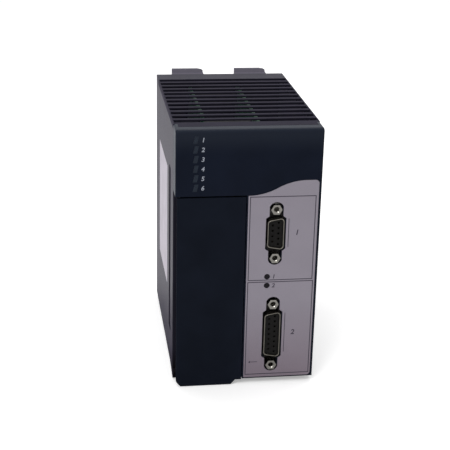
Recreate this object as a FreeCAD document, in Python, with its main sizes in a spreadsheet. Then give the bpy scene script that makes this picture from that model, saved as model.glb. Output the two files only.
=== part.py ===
import FreeCAD, Part
import Sketcher
import math
import os
import re
from FreeCAD import Placement, Rotation, Vector

# A double-width controller module for an industrial rack. It stands upright:
# +Z is up, the front face looks along -Y, and +X is to the right of it. The
# origin is under the middle of the whole module, on the surface it stands on.

doc = FreeCAD.newDocument("rack_module")
sheet = doc.addObject("Spreadsheet::Sheet", "dims")

DIMENSIONS = {
    # casing; a cutting tool runs past its face by overcut, and fused pieces share a lap
    "width": 70.0,
    "height": 130.0,
    "depth": 112.0,
    "wall": 1.8,
    "face_wall": 2.5,
    "rear_wall": 2.5,
    "skirt_top": 6.3,
    "skirt_side": 11.4,
    "seam_gap": 0.3,
    "fit_gap": 0.1,
    "overcut": 1.0,
    "lap": 1.0,
    "tongue_wall": 1.2,
    "tongue_reach": 3.0,
    "edge_round": 1.0,
    "brow_round": 1.8,
    "seam_round": 0.5,
    # runner under the front of the left wall, level with the door's lip
    "runner_length": 12.0,
    "runner_chamfer": 1.2,
    # feet
    "foot_height": 2.8,
    "foot_radius": 3.0,
    "foot_inset_x": 9.0,
    "foot_inset_y": 10.0,
    # louvres across the roof and the floor of the casing
    "louvre_start": 13.75,
    "louvre_pitch": 7.4,
    "louvre_width": 4.5,
    "louvre_bar": 0.8,
    "louvre_lip": 0.5,
    "roof_louvres": 12,
    "floor_louvres": 9,
    # grip recess and label recess on the side walls
    "grip_front": 22.0,
    "grip_back": 31.9,
    "grip_sink": 0.5,
    "grip_low": 17.0,
    "grip_high": 104.0,
    "side_label_front": 42.5,
    "side_label_back": 90.0,
    "side_label_low": 35.5,
    "side_label_high": 99.5,
    "sticker": 0.2,
    # rack interface at the back
    "slot_pitch": 35.0,
    "hook_reach": 8.5,
    "hook_width": 17.0,
    "hook_chamfer": 2.8,
    "hook_rise": 1.4,
    "hook_crest": 2.0,
    "hook_ramp": 2.5,
    "hook_root": 4.0,
    "hook_bite": 2.6,
    "plug_low": 22.0,
    "plug_high": 80.0,
    "plug_width": 9.0,
    "plug_depth": 10.0,
    "plug_wall": 1.0,
    "plug_pin_sink": 1.0,
    "plug_margin": 0.6,
    "plug_pins": 20,
    "plug_pin": 0.6,
    "plug_pin_pitch": 2.54,
    "plug_row_gap": 3.8,
    # release latches
    "latch_width": 12.0,
    "latch_side_gap": 0.6,
    "latch_pivot_inset": 18.0,
    "latch_pivot_height": 3.0,
    "latch_knuckle": 2.6,
    "latch_thick": 2.6,
    "latch_reach": 4.5,
    "latch_tooth": 2.6,
    "latch_pad": 10.0,
    "latch_pad_drop": 2.2,
    "pocket_height": 9.5,
    "pocket_front": 23.0,
    "pocket_wall": 1.6,
    "pivot_pin": 1.0,
    "running_gap": 0.05,
    "press_gap": 0.01,
    "spring_inset": 7.0,
    "spring_width": 5.0,
    "spring_span": 7.0,
    "spring_strip": 0.4,
    "spring_fold": 0.6,
    # front door; its top is measured down from the roof and its edge in from the side
    "door_left": 0.9,
    "door_top": 33.1,
    "door_thick": 2.0,
    "door_gap": 0.5,
    "door_round": 0.5,
    "door_rib": 1.2,
    "door_rib_depth": 2.2,
    "door_rib_inset": 3.0,
    "door_head_gap": 0.8,
    "sill": 1.8,
    "lip_right": 4.4,
    "lip_drop": 2.5,
    "lip_chamfer": 2.2,
    "hinge_inset": 2.3,
    "hinge_depth": 3.6,
    "hinge_hub": 1.5,
    "swing_gap": 0.4,
    "knuckle_radius": 2.2,
    "knuckle_length": 8.0,
    "knuckle_inset": 1.0,
    "pin_stop": 1.0,
    # compartment behind the door
    "tray_front": 6.5,
    "tray_depth": 32.0,
    "tray_wall": 1.5,
    # silver front label; its right edge is measured in from the side
    "label_left": 0.25,
    "label_right": 1.4,
    "label_bottom": 1.0,
    "label_low_top": 97.45,
    "label_high_top": 104.7,
    "label_shoulder": 28.0,
    "label_corner": 1.8,
    "label_thick": 0.3,
    "label_margin": 0.15,
    "label_rim": 0.6,
    # status lights; the uppermost is measured down from the roof
    "status_lights": 6,
    "status_x": 25.5,
    "status_z": 4.7,
    "status_pitch": 4.69,
    "status_width": 1.9,
    "status_height": 3.5,
    "status_slant": 0.8,
    "pipe_gap": 0.04,
    "pipe_length": 8.0,
    "port_light_x": 10.0,
    "port_light_high": 55.6,
    "port_light_low": 50.95,
    "port_light_radius": 1.3,
    "lamp_gap": 0.2,
    "lamp_size": 1.6,
    "lamp_tall": 2.8,
    "display_boss_left": 7.0,
    "display_boss_right": 2.0,
    "lamp_height": 1.1,
    "board": 1.6,
    # serial ports; their board's right edge is measured in from the side
    "port_x": 13.6,
    "port_1_z": 77.5,
    "port_2_z": 23.85,
    "port_1_pitch": 24.99,
    "port_2_pitch": 33.32,
    "port_1_shell": 16.3,
    "port_2_shell": 24.6,
    "port_shell_width": 7.9,
    "port_shell_slope": 1.4,
    "port_shell_wall": 0.3,
    "port_shell_round": 1.6,
    "port_shell_tip": 0.4,
    "flange_front": 5.0,
    "flange_thick": 0.8,
    "flange_width": 12.5,
    "flange_margin": 2.9,
    "contact_pitch": 2.76,
    "contact_row": 2.84,
    "contact_radius": 0.5,
    "contact_bore": 0.3,
    "contact_sink": 1.4,
    "contact_recess": 1.2,
    "contact_play": 0.05,
    "tail_radius": 0.3,
    "tail_stub": 1.0,
    "insulator_width": 10.6,
    "insulator_margin": 1.4,
    "insulator_depth": 6.0,
    "hex_radius": 2.75,
    "hex_tip": 0.1,
    "jack_thread": 1.13,
    "jack_thread_depth": 5.5,
    "jack_mouth": 1.55,
    "jack_mouth_depth": 0.4,
    "jack_shank": 1.4,
    "jack_shank_length": 8.0,
    "spacer_radius": 2.6,
    "window_left": 5.1,
    "window_right": 4.8,
    "lobe_left": 3.5,
    "lobe_right": 3.3,
    "window_1_half": 8.95,
    "window_2_half": 13.2,
    "lobe_1_half": 16.1,
    "lobe_2_half": 20.3,
    "lobe_round": 3.6,
    "window_1_lift": 0.4,
    "window_2_lift": 0.6,
    "window_chamfer": 1.1,
    "collar_wall": 1.6,
    "port_board_depth": 16.0,
    "port_board_left": 3.0,
    "port_board_right": 4.0,
    "port_board_low": 3.5,
    "port_board_high": 97.0,
    # boards inside; their top edge is measured down from the roof
    "main_board_x": 18.3,
    "main_board_front": 43.0,
    "main_board_back": 6.0,
    "main_board_low": 13.0,
    "main_board_high": 5.0,
    "io_board_x": 8.0,
    "io_board_front": 24.0,
    "stand_inset": 6.0,
    "stand_hex": 2.9,
    "stand_stud": 1.2,
    "stand_stud_length": 6.5,
    "screw_head": 2.5,
    "screw_head_thick": 1.6,
    "screw_play": 1.0,
    "board_hole": 1.6,
    "boss_radius": 3.2,
    "boss_bore_depth": 9.0,
    "header_length": 30.0,
    "header_height": 8.4,
    "header_inset": 1.0,
    # electronic parts
    "processor_size": 27.0,
    "processor_thick": 2.4,
    "processor_depth": 72.0,
    "processor_z": 84.0,
    "pad_thick": 0.6,
    "pad_inset": 1.0,
    "sink_size": 40.0,
    "sink_base": 3.5,
    "sink_height": 14.0,
    "sink_fins": 9,
    "fin_thick": 1.2,
    "chip_thick": 1.2,
    "memory_chips": 4,
    "memory_gap": 2.0,
    "logic_chips": 3,
    "logic_gap": 8.0,
    "capacitors": 4,
    "capacitor_gap": 2.0,
    "memory_length": 18.0,
    "memory_width": 10.0,
    "logic_size": 14.0,
    "capacitor_radius": 4.0,
    "capacitor_height": 10.0,
    "crystal_length": 11.0,
    "crystal_width": 4.6,
    "crystal_height": 3.5,
    # mode switch
    "switch_x": 17.5,
    "switch_z": 76.0,
    "switch_body_width": 9.0,
    "switch_body_height": 14.0,
    "switch_body_depth": 9.0,
    "bush_radius": 4.4,
    "bush_bore": 3.2,
    "bush_reach": 4.5,
    "nut_radius": 6.4,
    "nut_thick": 1.8,
    "switch_pivot": 2.4,
    "ball_radius": 2.0,
    "lever_root": 1.2,
    "lever_tip": 1.7,
    "lever_length": 12.0,
    "lever_pin": 0.6,
    # battery
    "battery_radius": 8.5,
    "battery_length": 33.5,
    "battery_low": 14.0,
    "battery_clear": 0.3,
    "holder_wall": 1.6,
    "holder_width": 19.0,
    "clip_thick": 0.4,
    "clip_width": 8.0,
    "nub_radius": 3.0,
    "nub_height": 0.8,
}

# Places that several pieces share, worked out from the sheet.
PLACES = {
    "front": "-(depth + hook_reach) / 2",
    "rear": "front + depth",
    "base": "foot_height",
    "roof": "base + height",
    "side": "width / 2",
    "inside": "side - wall",
    "skirt_end": "front + skirt_side - seam_gap",
    "skirt_back": "front + skirt_top - seam_gap",
    "divider": "-label_left - label_rim",
    "door_head": "roof - door_top",
    "door_edge": "-side + door_left",
    "opening_head": "door_head + door_head_gap",
    "hinge_x": "door_edge + hinge_inset",
    "hinge_y": "front + hinge_depth",
    "door_swing": "sqrt(hinge_inset ^ 2 + hinge_depth ^ 2) + swing_gap",
    "runner_front": "hinge_y + door_swing",
    "label_edge": "side - label_right",
    "boards_top": "roof - main_board_high",
    "flange_y": "front + flange_front",
    "lobe_half": "(lobe_left + lobe_right) / 2",
    "lobe_rise": "lobe_round - sqrt(lobe_round ^ 2 - lobe_half ^ 2)",
    "port_board_y": "front + port_board_depth",
    "plug_x": "-slot_pitch / 2",
    "main_x": "-main_board_x",
    "main_face": "main_x + board",
    "stand_low": "base + main_board_low + stand_inset",
    "stand_high": "boards_top - stand_inset",
    "stand_front": "front + main_board_front + stand_inset",
    "stand_back": "rear - main_board_back - stand_inset",
    "tray_left": "-(inside - fit_gap)",
    "tray_right": "divider - fit_gap",
    "tray_back": "front + tray_depth",
    "pocket_roof": "base + pocket_height",
    "pivot_y": "rear - latch_pivot_inset",
    "pivot_z": "base + latch_pivot_height",
    "latch_top": "pivot_z + latch_thick / 2",
    "lamp_y": "front + pipe_length + lamp_gap",
    "display_y": "lamp_y + lamp_height",
    "bush_front": "tray_back - tray_wall - bush_reach",
    "switch_y": "bush_front + switch_pivot",
    "battery_y": "tray_back - tray_wall - holder_wall - battery_clear - battery_radius",
    "battery_x": "-switch_x",
    "cell_low": "base + battery_low",
    "cell_high": "cell_low + battery_length",
    "display_z": "roof - status_z - status_pitch * (status_lights - 1) / 2",
    "upper_knuckle": "door_head - knuckle_inset - knuckle_length",
    "lower_knuckle": "base + sill + door_head_gap",
    "door_right": "divider - door_gap",
    "display_link_low": "opening_head + 2 * sill",
    "processor_y": "front + processor_depth",
    "processor_middle": "base + processor_z",
    "pad_face": "main_face + processor_thick + pad_thick",
    "holder_low": "cell_low - clip_thick - holder_wall",
    "holder_high": "cell_high + nub_height + clip_thick + holder_wall",
    "holder_back": "tray_back - tray_wall",
}

# An edge lies on a plane, or along an axis, to within these.
TOUCH = 0.01
NEARLY_ALONG = 0.99
WORD = re.compile(r"[a-z_][a-z_0-9]*")
TURNS = {
    "x": Rotation(Vector(0, 1, 0), 90),
    "y": Rotation(Vector(1, 0, 0), -90),
    "z": Rotation(),
}


def fill_sheet():
    """Write every driving dimension into the sheet, with its word as its alias."""
    for row, (alias, size) in enumerate(DIMENSIONS.items(), start=1):
        sheet.set(f"A{row}", alias)
        sheet.set(f"B{row}", str(size))
        sheet.setAlias(f"B{row}", alias)
    doc.recompute()


def bound(expression):
    """An expression in plain words, with each word led back to its sheet cell."""
    def cell(match):
        word = match.group(0)
        if word in PLACES:
            return "(" + bound(PLACES[word]) + ")"
        return "dims." + word if word in DIMENSIONS else word
    return WORD.sub(cell, str(expression))


def size_of(expression):
    """The present value of an expression."""
    return float(sheet.evalExpression(bound(expression)))


def tie(feature, path, expression):
    feature.setExpression(path, bound(expression))


def put(feature, x, y, z):
    tie(feature, "Placement.Base.x", x)
    tie(feature, "Placement.Base.y", y)
    tie(feature, "Placement.Base.z", z)
    return feature


def box(name, x, y, z):
    """A block between two planes along each axis, each given as (low, high)."""
    block = doc.addObject("Part::Box", name)
    for path, (low, high) in (("Length", x), ("Width", y), ("Height", z)):
        tie(block, path, f"({high}) - ({low})")
    return put(block, x[0], y[0], z[0])


def rod(name, axis, x, y, z, radius, length):
    """A cylinder that starts at a point and runs along an axis."""
    bar = doc.addObject("Part::Cylinder", name)
    bar.Placement = Placement(Vector(), TURNS[axis])
    tie(bar, "Radius", radius)
    tie(bar, "Height", length)
    return put(bar, x, y, z)


def cone(name, axis, x, y, z, radii, length):
    """A round bar that starts at the first radius and ends at the second."""
    bar = doc.addObject("Part::Cone", name)
    bar.Placement = Placement(Vector(), TURNS[axis])
    tie(bar, "Radius1", radii[0])
    tie(bar, "Radius2", radii[1])
    tie(bar, "Height", length)
    return put(bar, x, y, z)


def hexagon(name, axis, x, y, z, radius, length):
    """A six-sided bar; the radius runs to its corners."""
    bar = doc.addObject("Part::Prism", name)
    bar.Polygon = 6
    bar.Placement = Placement(Vector(), TURNS[axis])
    tie(bar, "Circumradius", radius)
    tie(bar, "Height", length)
    return put(bar, x, y, z)


def fuse(name, pieces):
    joined = doc.addObject("Part::MultiFuse", name)
    joined.Shapes = pieces
    joined.Refine = True
    return joined


def group(name, pieces):
    """Like pieces that stay separate solids in one node."""
    together = doc.addObject("Part::Compound", name)
    together.Links = pieces
    return together


def cut(name, piece, tools):
    """A piece with the tools' space taken out of it."""
    tool = tools[0] if len(tools) == 1 else fuse(name + "_space", tools)
    result = doc.addObject("Part::Cut", name)
    result.Base = piece
    result.Tool = tool
    result.Refine = True
    return result


def edges_where(shape, wanted):
    """Numbers of the edges whose middle and direction pass a test."""
    found = []
    for number, edge in enumerate(shape.Edges, start=1):
        middle = edge.valueAt((edge.FirstParameter + edge.LastParameter) / 2)
        along = edge.tangentAt(edge.FirstParameter)
        if wanted(middle, along):
            found.append(number)
    return found


def rounded(name, piece, radius, wanted):
    """A piece with some of its edges rounded."""
    doc.recompute()
    bend = size_of(radius)
    result = doc.addObject("Part::Fillet", name)
    result.Base = piece
    result.Edges = [(number, bend, bend) for number in edges_where(piece.Shape, wanted)]
    return result


def outline(sketch, corners):
    """A closed outline of straight runs and arcs, each corner tied to the sheet.

    A corner is (across, up), or (across, up, radius, turn) where the run to
    the next corner is an arc: turn is 1 for an arc that curves to the left
    along the run, and -1 for one that curves to the right.
    """
    points = [Vector(size_of(corner[0]), size_of(corner[1]), 0) for corner in corners]
    ends = []
    for index, corner in enumerate(corners):
        start = points[index]
        stop = points[(index + 1) % len(points)]
        if len(corner) == 2:
            sketch.addGeometry(Part.LineSegment(start, stop), False)
            ends.append((1, 2))
            continue
        chord = stop - start
        bend = size_of(corner[2])
        away = math.sqrt(max(bend ** 2 - (chord.Length / 2) ** 2, 0.0))
        middle = start + chord / 2 + Vector(-chord.y, chord.x, 0).normalize() * away * corner[3]
        first, last = (start, stop) if corner[3] > 0 else (stop, start)
        angles = [math.atan2(end.y - middle.y, end.x - middle.x) for end in (first, last)]
        circle = Part.Circle(middle, Vector(0, 0, 1), bend)
        sketch.addGeometry(Part.ArcOfCircle(circle, *angles), False)
        ends.append((1, 2) if corner[3] > 0 else (2, 1))
    for index, corner in enumerate(corners):
        following = (index + 1) % len(corners)
        sketch.addConstraint(
            Sketcher.Constraint("Coincident", index, ends[index][1], following, ends[following][0]))
        for kind, expression in (("DistanceX", corner[0]), ("DistanceY", corner[1])):
            row = sketch.addConstraint(
                Sketcher.Constraint(kind, -1, 1, index, ends[index][0], size_of(expression)))
            tie(sketch, f"Constraints[{row}]", expression)
        if len(corner) > 2:
            row = sketch.addConstraint(Sketcher.Constraint("Radius", index, size_of(corner[2])))
            tie(sketch, f"Constraints[{row}]", corner[2])


def padded(name, plane, corners, low, high):
    """A body whose outline lies across one axis and runs between two planes.

    The outline of an XZ body is (x, z), of a YZ body (y, z), of an XY body (x, y).
    """
    body = doc.addObject("PartDesign::Body", name)
    sketch = body.newObject("Sketcher::SketchObject", name + "_outline")
    role = plane + "_Plane"
    face = [feature for feature in body.Origin.OriginFeatures if feature.Role == role][0]
    sketch.AttachmentSupport = [(face, "")]
    sketch.MapMode = "FlatFace"
    start = f"-({high})" if plane == "XZ" else low
    tie(sketch, "AttachmentOffset.Base.z", start)
    outline(sketch, corners)
    pad = body.newObject("PartDesign::Pad", name + "_pad")
    pad.Profile = sketch
    tie(pad, "Length", f"({high}) - ({low})")
    sketch.Visibility = False
    return body


def named(label, piece):
    """Give a finished sub-part the name of its file."""
    piece.Label = label
    return piece


# ---------------------------------------------------------------- casing

def hook(name, middle):
    """A tab at the top of the back with a raised crest that hangs on the rack."""
    profile = [
        ("rear - rear_wall", "roof"),
        ("rear - rear_wall", "roof - 2 * hook_root"),
        ("rear", "roof - 2 * hook_root"),
        ("rear + hook_bite", "roof - hook_root"),
        ("rear + hook_reach", "roof - hook_root"),
        ("rear + hook_reach", "roof + hook_rise"),
        ("rear + hook_reach - hook_crest", "roof + hook_rise"),
        ("rear + hook_reach - hook_crest - hook_ramp", "roof"),
    ]
    tab = padded(name, "YZ", profile, f"{middle} - hook_width / 2", f"{middle} + hook_width / 2")
    corner = [
        (f"{middle} + hook_width / 2 - hook_chamfer", "rear + hook_reach + overcut"),
        (f"{middle} + hook_width / 2 + overcut", "rear + hook_reach + overcut"),
        (f"{middle} + hook_width / 2 + overcut", "rear + hook_reach - hook_chamfer"),
        (f"{middle} + hook_width / 2", "rear + hook_reach - hook_chamfer"),
        (f"{middle} + hook_width / 2 - hook_chamfer", "rear + hook_reach"),
    ]
    bevel = padded(name + "_corner", "XY", corner, "roof - 2 * hook_root", "roof + 2 * hook_rise")
    return cut(name + "_tab", tab, [bevel])


def louvres(name, count, reach, low, high):
    """Slots that run across the module, as far as reach on either side."""
    slots = []
    for index in range(int(size_of(count))):
        start = f"front + louvre_start + {index} * louvre_pitch"
        slots.append(box(f"{name}_{index + 1}", (f"-({reach})", reach),
                         (start, f"{start} + louvre_width"), (low, high)))
    return slots


def stand_points():
    """The four fixing points of the boards, as (y, z)."""
    return [(y, z) for y in ("stand_front", "stand_back") for z in ("stand_low", "stand_high")]


def housing_shell():
    """The moulded casing: one piece from the seam behind the bezel to the back."""
    block = box("shell_block", ("-side", "side"), ("front + skirt_top", "rear"), ("base", "roof"))
    hollow = box("shell_hollow", ("-inside", "inside"),
                 ("front + skirt_top - overcut", "rear - rear_wall"), ("base + wall", "roof - wall"))
    steps = [
        box("shell_step_left", ("-side - overcut", "-inside"), ("front", "front + skirt_side"),
            ("base + sill", "roof + overcut")),
        box("shell_step_right", ("inside", "side + overcut"), ("front", "front + skirt_side"),
            ("base - overcut", "roof + overcut")),
    ]
    walls = cut("shell_walls", block, [hollow] + steps)
    edge = [size_of("side"), size_of("front + skirt_side")]
    walls = rounded("shell_seam_edges", walls, "seam_round",
                    lambda middle, along: abs(along.z) > NEARLY_ALONG
                    and abs(abs(middle.x) - edge[0]) + abs(middle.y - edge[1]) < TOUCH)
    runner = padded("left_runner", "YZ", [
        ("runner_front", "base + sill"),
        ("runner_front", "base - lip_drop + runner_chamfer"),
        ("runner_front + runner_chamfer", "base - lip_drop"),
        ("front + skirt_side", "base - lip_drop"),
        ("front + skirt_side + runner_length", "base"),
        ("front + skirt_side + runner_length", "base + sill"),
    ], "-side", "-inside")
    added = [walls, runner]
    removed = louvres("roof_slot", "roof_louvres", "side - louvre_lip", "roof - 2 * wall",
                      "roof + overcut")
    removed += louvres("floor_slot", "floor_louvres", "inside", "base - overcut", "base + 2 * wall")
    removed.append(box("roof_slot_thinning", ("-inside", "inside"),
                       ("front + louvre_start",
                        "front + louvre_start + (roof_louvres - 1) * louvre_pitch + louvre_width"),
                       ("roof - 2 * wall", "roof - louvre_bar")))
    for number, (y, z) in enumerate(stand_points(), start=1):
        added.append(rod(f"boss_{number}", "x", "-inside - wall / 2", y, z,
                         "boss_radius", "main_x + inside + wall / 2"))
        removed.append(rod(f"boss_bore_{number}", "x", "main_x - boss_bore_depth", y, z,
                           "stand_stud + running_gap", "boss_bore_depth + overcut"))
    for name, sign in (("left", "-"), ("right", "")):
        middle = f"{sign}slot_pitch / 2"
        added.append(hook(f"{name}_hook", middle))
        half = "(latch_width / 2 + latch_side_gap)"
        outer = f"({half} + pocket_wall)"
        added.append(box(f"{name}_pocket_walls", (f"{middle} - {outer}", f"{middle} + {outer}"),
                         ("rear - pocket_front - pocket_wall", "rear"),
                         ("base", "pocket_roof + pocket_wall")))
        removed.append(box(f"{name}_pocket", (f"{middle} - {half}", f"{middle} + {half}"),
                           ("rear - pocket_front", "rear + overcut"), ("base - overcut", "pocket_roof")))
        removed.append(rod(f"{name}_pivot_bore", "x", f"{middle} - {outer} - overcut",
                           "pivot_y", "pivot_z",
                           "pivot_pin + press_gap", f"2 * {outer} + 2 * overcut"))
        for end, low, high in (("outer", f"{middle} - {outer}", f"{middle} - {half}"),
                               ("inner", f"{middle} + {half}", f"{middle} + {outer}")):
            added.append(box(f"{name}_{end}_guard", (low, high),
                             ("rear - pocket_front - pocket_wall", "rear - pocket_wall"),
                             ("base - foot_height", "base + wall")))
        added.append(rod(f"{name}_foot", "z", f"{sign}(side - foot_inset_x)", "front + foot_inset_y",
                         "base - foot_height", "foot_radius", "foot_height + wall / 2"))
        face = "-side - overcut" if name == "left" else "side - grip_sink"
        removed.append(box(f"{name}_grip", (face, f"{face} + overcut + grip_sink"),
                           ("front + grip_front", "front + grip_back"),
                           ("base + grip_low", "base + grip_high")))
    removed.append(box("plug_window",
                       ("plug_x - plug_width / 2 - plug_margin", "plug_x + plug_width / 2 + plug_margin"),
                       ("rear - rear_wall - overcut", "rear + overcut"),
                       ("base + plug_low - plug_margin", "base + plug_high + plug_margin")))
    removed.append(box("side_label_seat", ("-side - overcut", "-side + sticker"),
                       ("front + side_label_front - label_margin",
                        "front + side_label_back + label_margin"),
                       ("base + side_label_low - label_margin", "base + side_label_high + label_margin")))
    removed.append(rod("door_swing_room", "z", "hinge_x", "hinge_y", "base - lip_drop - overcut",
                       "door_swing", "door_head - base"))
    return cut("housing_shell", fuse("shell_solid", added), removed)


def side_label():
    """A blank adhesive label, flush in its recess on the left side."""
    return box("side_label", ("-side", "-side + sticker"),
               ("front + side_label_front", "front + side_label_back"),
               ("base + side_label_low", "base + side_label_high"))


# ---------------------------------------------------------------- ports' windows and lights

PORTS = {"port_1": 9, "port_2": 15}


def port_place(port):
    """The height of a port's middle, and the half lengths of its window."""
    number = port[-1]
    return f"(base + {port}_z)", f"window_{number}_half", f"lobe_{number}_half", f"window_{number}_lift"


def window(name, port, near, far):
    """The opening round a port, with a round-ended lobe for each jackscrew."""
    middle, half, lobe, lift = port_place(port)
    lobes = ("port_x - lobe_left", "port_x + lobe_right")
    sides = ("port_x - window_left", "port_x + window_right")
    corners = []
    for sign, first, last in (("+", 0, 1), ("-", 1, 0)):
        centre = f"{middle} + {lift}"
        waist = f"{centre} {sign} ({half} - window_chamfer)"
        shoulder = f"{centre} {sign} {half}"
        spring = f"{centre} {sign} ({lobe} - lobe_rise)"
        corners += [(sides[first], waist), (lobes[first], shoulder),
                    (lobes[first], spring, "lobe_round", -1),
                    (lobes[last], spring), (lobes[last], shoulder), (sides[last], waist)]
    return padded(name, "XZ", corners, near, far)


def status_height(index):
    return f"(roof - status_z - {index} * status_pitch)"


def status_bar(name, index, near, far, spread):
    """One slanted status window or the light pipe that fills it."""
    middle = status_height(index)
    half = f"(status_width / 2 + {spread})"
    tall = f"(status_height / 2 + {spread})"
    corners = [
        (f"-status_x - {half} - status_slant / 2", f"{middle} - {tall}"),
        (f"-status_x + {half} - status_slant / 2", f"{middle} - {tall}"),
        (f"-status_x + {half} + status_slant / 2", f"{middle} + {tall}"),
        (f"-status_x - {half} + status_slant / 2", f"{middle} + {tall}"),
    ]
    return padded(name, "XZ", corners, near, far)


PORT_LIGHTS = ("port_light_high", "port_light_low")
DISPLAY_FIXINGS = ("-display_boss_left", "display_boss_right")


def port_light(name, height, near, length, radius):
    return rod(name, "y", "port_light_x", near, f"base + {height}", radius, length)


def label_outline(spread):
    """The silver label: its top edge sweeps up in an S from left to right."""
    low = f"(base + label_low_top + {spread})"
    high = f"(base + label_high_top + {spread})"
    left = f"(-label_left - {spread})"
    right = f"(label_edge + {spread})"
    bottom = f"(base + label_bottom - {spread})"
    half_run = "((label_shoulder + label_left) / 2)"
    half_rise = "((label_high_top - label_low_top) / 2)"
    sweep = f"(({half_run} ^ 2 + {half_rise} ^ 2) / (2 * {half_rise}))"
    return [
        (left, bottom),
        (f"{right} - label_corner", bottom, "label_corner", 1),
        (right, f"{bottom} + label_corner"),
        (right, f"{high} - label_corner", "label_corner", 1),
        (f"{right} - label_corner", high),
        ("label_shoulder", high, sweep, 1),
        ("(label_shoulder - label_left) / 2", f"({high} + {low}) / 2", sweep, -1),
        (left, low),
    ]


def front_label():
    """The thin metal label with the windows for the ports and their lights."""
    plate = padded("label_plate", "XZ", label_outline("0"), "front", "front + label_thick")
    holes = [window(f"{port}_label_window", port, "front - overcut", "front + face_wall")
             for port in PORTS]
    holes += [port_light(f"{height}_label_hole", height, "front - overcut", "face_wall",
                         "port_light_radius + label_margin") for height in PORT_LIGHTS]
    return cut("front_label", plate, holes)


# ---------------------------------------------------------------- bezel and door

def front_bezel():
    """The front moulding: face, skirts, frame of the door opening and port collars."""
    block = box("bezel_block", ("-side", "side"), ("front", "skirt_end"), ("base", "roof"))
    near = size_of("front")
    top = size_of("roof")
    block = rounded("bezel_brow", block, "brow_round",
                    lambda middle, along: abs(middle.y - near) + abs(middle.z - top) < TOUCH)
    brow = size_of("roof - brow_round")
    block = rounded("bezel_rounded", block, "edge_round",
                    lambda middle, along: abs(middle.y - near) < TOUCH and middle.z < brow - TOUCH)
    hollow = box("bezel_hollow", ("-inside", "inside"), ("front + face_wall", "skirt_end + overcut"),
                 ("base + wall", "roof - wall"))
    rebate = box("bezel_rebate", ("-inside", "inside"), ("skirt_back", "skirt_end + overcut"),
                 ("base - overcut", "roof + overcut"))
    opening = box("door_opening", ("-side - overcut", "divider"),
                  ("front - overcut", "skirt_end + overcut"),
                  ("base + sill", "opening_head"))
    lip_room = box("door_lip_room", ("-side - overcut", "divider"),
                   ("front - overcut", "front + face_wall"),
                   ("base - overcut", "base + 2 * sill"))
    hinge_room = box("door_hinge_room", ("-side - overcut", "hinge_x"),
                     ("front - overcut", "skirt_end + overcut"),
                     ("base - overcut", "base + 2 * sill"))
    shell = cut("bezel_shell", block, [hollow, rebate, opening, lip_room, hinge_room])
    added = [
        shell,
        rod("lower_hinge_hub", "z", "hinge_x", "hinge_y", "base", "hinge_hub", "sill"),
        box("bezel_sill", ("-side + edge_round", "divider + tray_wall"),
            ("front + edge_round", "skirt_back"), ("opening_head", "opening_head + sill")),
        box("bezel_divider", ("divider", "divider + tray_wall"), ("front + edge_round", "skirt_end"),
            ("base + wall + fit_gap", "opening_head + sill")),
        box("top_tongue", ("-inside + wall", "inside - wall"),
            ("front + face_wall / 2", "front + skirt_top + tongue_reach"),
            ("roof - wall - fit_gap - tongue_wall", "roof - wall - fit_gap")),
        box("top_tongue_root", ("-inside + wall", "inside - wall"),
            ("front + face_wall / 2", "skirt_back"),
            ("roof - wall - fit_gap - tongue_wall", "roof - wall / 2")),
        box("floor_tongue", ("divider + tray_wall / 2", "inside - wall"),
            ("front + face_wall / 2", "front + skirt_top + tongue_reach"),
            ("base + wall + fit_gap", "base + wall + fit_gap + tongue_wall")),
        box("floor_tongue_root", ("divider + tray_wall / 2", "inside - wall"),
            ("front + face_wall / 2", "skirt_back"),
            ("base + wall / 2", "base + wall + fit_gap + tongue_wall")),
        box("right_tongue", ("inside - fit_gap - tongue_wall", "inside - fit_gap"),
            ("front + face_wall / 2", "front + skirt_side + tongue_reach"),
            ("base + 2 * sill", "roof - 2 * sill")),
        box("left_tongue", ("-inside + fit_gap", "-inside + fit_gap + tongue_wall"),
            ("front + face_wall / 2", "front + skirt_side + tongue_reach"),
            ("opening_head", "roof - 2 * sill")),
    ]
    removed = [
        padded("label_seat", "XZ", label_outline("label_margin"), "front - overcut",
               "front + label_thick"),
    ]
    for port in PORTS:
        middle, half, lobe, lift = port_place(port)
        added.append(box(f"{port}_collar",
                         ("port_x - window_left - collar_wall", "port_x + window_right + collar_wall"),
                         ("front + face_wall / 2", "flange_y"),
                         (f"{middle} + {lift} - {lobe} - collar_wall / 2",
                          f"{middle} + {lift} + {lobe} + collar_wall / 2")))
        removed.append(window(f"{port}_window", port, "front - overcut", "flange_y + overcut"))
    for height in PORT_LIGHTS:
        removed.append(port_light(f"{height}_hole", height, "front - overcut", "flange_front",
                                  "port_light_radius + pipe_gap"))
    for index in range(int(size_of("status_lights"))):
        removed.append(status_bar(f"status_hole_{index + 1}", index, "front - overcut",
                                  "display_y", "pipe_gap"))
    for number, x in enumerate(DISPLAY_FIXINGS, start=1):
        added.append(rod(f"display_boss_{number}", "y", x, "front + face_wall / 2",
                         "display_z", "boss_radius", "display_y - front - face_wall / 2"))
        removed.append(rod(f"display_bore_{number}", "y", x, "front + face_wall",
                           "display_z", "stand_stud + running_gap", "display_y - front"))
    for name, low in (("upper", "opening_head - overcut"), ("lower", "base + sill / 2")):
        removed.append(rod(f"{name}_pin_bore", "z", "hinge_x", "hinge_y", low,
                           "pivot_pin + press_gap", "sill + overcut"))
    return cut("front_bezel", fuse("bezel_solid", added), removed)


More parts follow.
